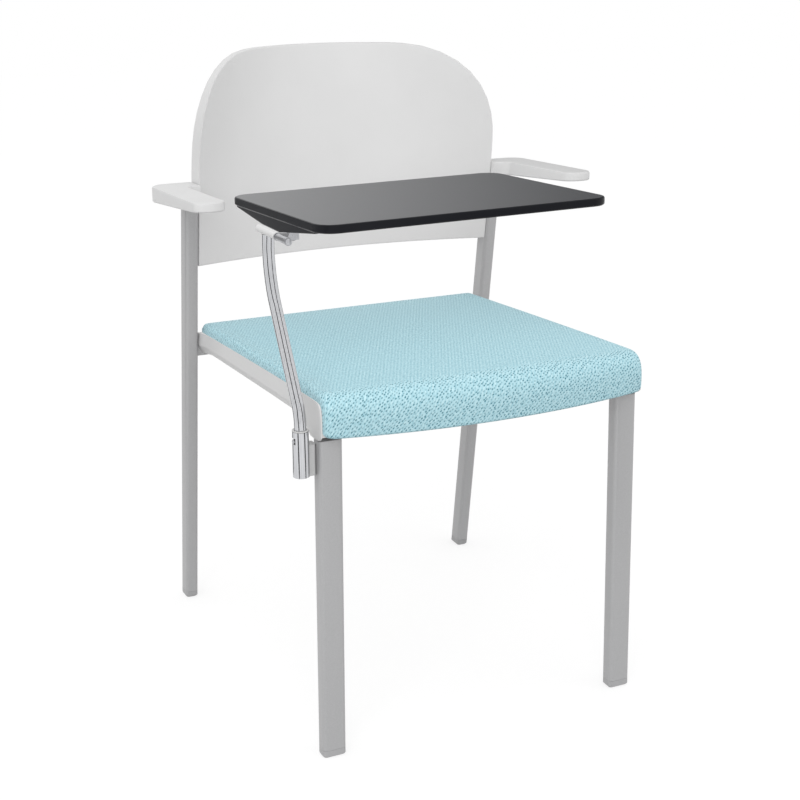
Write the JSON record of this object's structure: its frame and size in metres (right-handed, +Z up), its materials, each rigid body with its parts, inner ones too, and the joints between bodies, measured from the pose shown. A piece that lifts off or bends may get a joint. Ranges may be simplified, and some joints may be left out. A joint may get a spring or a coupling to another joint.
{
  "type": "chair with writing tablet",
  "caption": "Stacking-style visitor chair with tube legs, armrests, a curved plastic back, an upholstered seat and a writing tablet that swings aside and flips up.",
  "frame": {"origin": "on the floor, under the middle of the chair's box", "axes": "+Z up from the floor, +X towards the sitter's left, +Y towards the back; the tablet is on -X"},
  "size_m": [0.59, 0.6441, 0.846],
  "materials": {
    "silver_paint": "satin silver-grey powder coat",
    "pale_plastic": "finely grained light grey moulding",
    "grey_plastic": "matt moulding",
    "aqua_fabric": "knitted upholstery with open pits",
    "chrome": "polished",
    "zinc": "zinc plated",
    "black_plastic": "satin moulding",
    "tablet_grey": "satin writing surface with dark edge",
    "nylon": "self-lubricating bearing plastic"
  },
  "bodies": {
    "frame": {"front_leg_right": "silver_paint", "front_leg_left": "silver_paint", "rear_leg_right": "silver_paint", "rear_leg_left": "silver_paint", "front_glide_right": "grey_plastic", "front_glide_left": "grey_plastic", "rear_glide_right": "grey_plastic", "rear_glide_left": "grey_plastic", "front_cross_rail": "silver_paint", "rear_cross_rail": "silver_paint", "side_rail_right": "silver_paint", "side_rail_left": "silver_paint", "seat_shell": "pale_plastic", "seat_pad": "aqua_fabric", "seat_screw_front_right": "zinc", "seat_screw_front_left": "zinc", "seat_screw_rear_right": "zinc", "seat_screw_rear_left": "zinc", "back_panel": "pale_plastic", "back_screw_lower_right": "zinc", "back_screw_lower_left": "zinc", "back_screw_upper_right": "zinc", "back_screw_upper_left": "zinc", "armrest_right": "pale_plastic", "armrest_left": "pale_plastic", "armrest_screw_right": "zinc", "armrest_screw_left": "zinc", "tablet_socket": "chrome", "socket_bracket": "pale_plastic", "bracket_screw_lower": "zinc", "bracket_screw_upper": "zinc", "upper_bush": "nylon", "lower_bush": "nylon"},
    "arm": {"tablet_arm": "chrome", "stop_pin": "zinc", "hinge_leaf": "pale_plastic", "hinge_pin": "zinc", "hinge_washer_rear": "chrome", "hinge_washer_front": "chrome", "hinge_nut": "chrome"},
    "tablet": {"hinge_barrel": "chrome", "barrel_screw_front": "zinc", "barrel_screw_rear": "zinc", "tablet_carrier": "black_plastic", "tablet_board": "tablet_grey", "board_screw_front": "zinc", "board_screw_rear": "zinc", "board_screw_inner_front": "zinc", "board_screw_inner_rear": "zinc"}
  },
  "joints": [
    {"name": "arm_swivel", "type": "hinge", "parent": "frame", "child": "arm", "pos_m": [-0.248, -0.237, 0.43], "axis": [0, 0, 1], "range_deg": [-90, 0]},
    {"name": "tablet_flip", "type": "hinge", "parent": "arm", "child": "tablet", "pos_m": [-0.2554, -0.17725, 0.6735], "axis": [0.0401, -0.9992, 0], "range_deg": [0, 100]}
  ]
}
